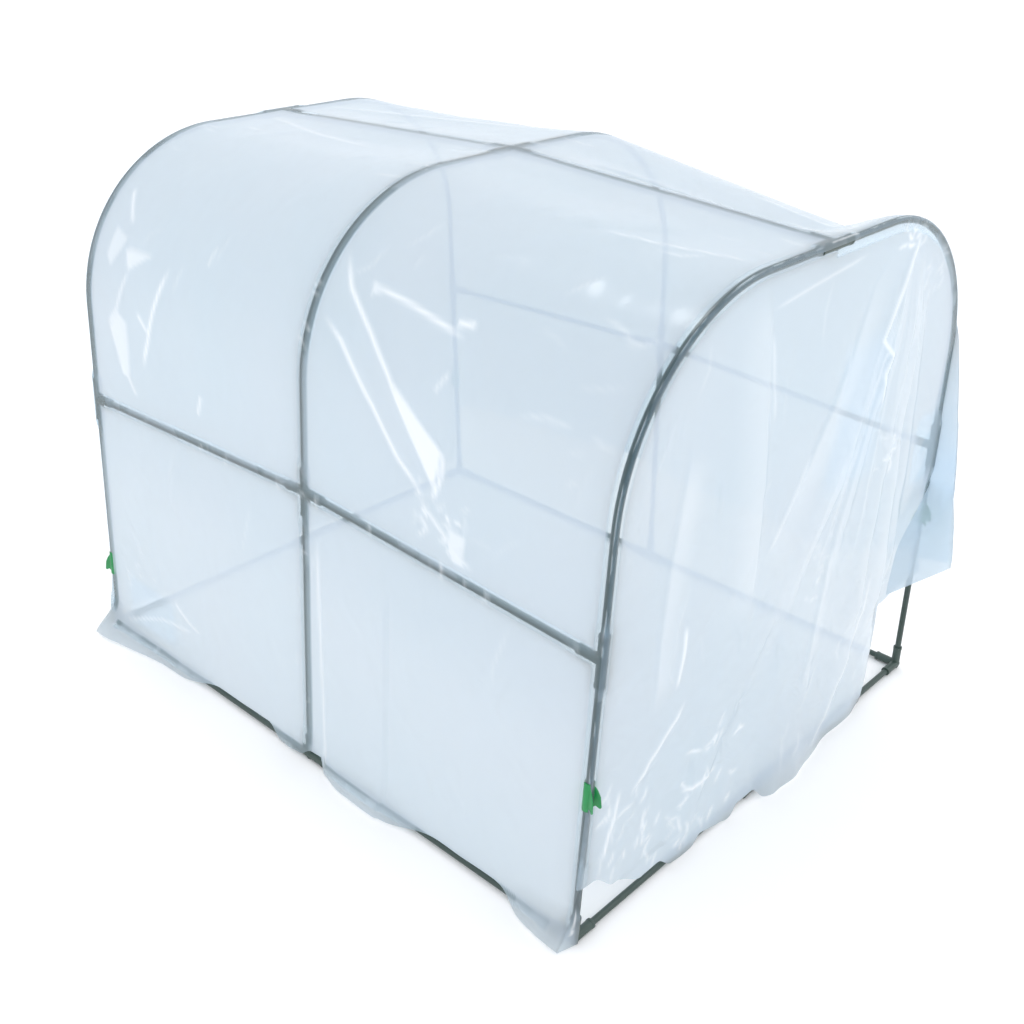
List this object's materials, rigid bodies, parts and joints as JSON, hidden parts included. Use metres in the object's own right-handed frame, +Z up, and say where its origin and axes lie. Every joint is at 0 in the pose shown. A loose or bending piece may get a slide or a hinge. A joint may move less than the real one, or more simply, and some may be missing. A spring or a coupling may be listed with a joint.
{
  "type": "hoop greenhouse",
  "caption": "Small hoop greenhouse: a push-fit frame of thin coated tubes and moulded fittings under a loose clear film, with end curtains that lift and clips that slide.",
  "frame": {"origin": "on the ground, at the middle of the footprint", "axes": "+Y along the tunnel from the front end to the back end, +X to the right as seen from the front, +Z up"},
  "size_m": [1.011, 1.3152, 0.977],
  "materials": {
    "coated_tube": "satin dark green plastic coating on thin steel tube",
    "moulded_fitting": "satin dark grey-green moulded plastic",
    "clip_plastic": "bright green moulded plastic",
    "clear_film": "thin translucent film, faintly blue, creased"
  },
  "bodies": {
    "frame": {"leg_front_left": "coated_tube", "hoop_front_left": "coated_tube", "leg_front_right": "coated_tube", "hoop_front_right": "coated_tube", "leg_middle_left": "coated_tube", "hoop_middle_left": "coated_tube", "leg_middle_right": "coated_tube", "hoop_middle_right": "coated_tube", "leg_back_left": "coated_tube", "hoop_back_left": "coated_tube", "leg_back_right": "coated_tube", "hoop_back_right": "coated_tube", "ground_rail_front_left": "coated_tube", "side_rail_front_left": "coated_tube", "end_rail_front_left": "coated_tube", "corner_front_left": "moulded_fitting", "tee_front_left": "moulded_fitting", "ground_rail_front_right": "coated_tube", "side_rail_front_right": "coated_tube", "end_rail_front_right": "coated_tube", "corner_front_right": "moulded_fitting", "tee_front_right": "moulded_fitting", "ridge_rail_front": "coated_tube", "coupler_front": "moulded_fitting", "ridge_tee_front": "moulded_fitting", "ground_rail_back_left": "coated_tube", "side_rail_back_left": "coated_tube", "end_rail_back_left": "coated_tube", "corner_back_left": "moulded_fitting", "tee_back_left": "moulded_fitting", "ground_rail_back_right": "coated_tube", "side_rail_back_right": "coated_tube", "end_rail_back_right": "coated_tube", "corner_back_right": "moulded_fitting", "tee_back_right": "moulded_fitting", "ridge_rail_back": "coated_tube", "coupler_back": "moulded_fitting", "ridge_tee_back": "moulded_fitting", "ground_tee_left": "moulded_fitting", "cross_left": "moulded_fitting", "ground_tee_right": "moulded_fitting", "cross_right": "moulded_fitting", "ridge_cross": "moulded_fitting", "film_cover": "clear_film"},
    "front_curtain": {"front_curtain": "clear_film"},
    "back_curtain": {"back_curtain": "clear_film"},
    "clip_front_left": {"clip_front_left": "clip_plastic"},
    "clip_front_right": {"clip_front_right": "clip_plastic"},
    "clip_back_left": {"clip_back_left": "clip_plastic"},
    "clip_back_right": {"clip_back_right": "clip_plastic"}
  },
  "joints": [
    {"name": "front_curtain_lift", "type": "hinge", "parent": "frame", "child": "front_curtain", "pos_m": [0, -0.6101, 0.9505], "axis": [-1, 0, 0], "range_deg": [0, 110]},
    {"name": "back_curtain_lift", "type": "hinge", "parent": "frame", "child": "back_curtain", "pos_m": [0, 0.6101, 0.9505], "axis": [1, 0, 0], "range_deg": [0, 110]},
    {"name": "clip_slide_front_left", "type": "slide", "parent": "frame", "child": "clip_front_left", "axis": [0.0503, 0, 0.9987], "range_m": [-0.194, 0.151]},
    {"name": "clip_slide_front_right", "type": "slide", "parent": "frame", "child": "clip_front_right", "axis": [-0.0503, 0, 0.9987], "range_m": [-0.276, 0.069]},
    {"name": "clip_slide_back_left", "type": "slide", "parent": "frame", "child": "clip_back_left", "axis": [0.0503, 0, 0.9987], "range_m": [-0.067, 0.278]},
    {"name": "clip_slide_back_right", "type": "slide", "parent": "frame", "child": "clip_back_right", "axis": [-0.0503, 0, 0.9987], "range_m": [-0.184, 0.161]}
  ]
}
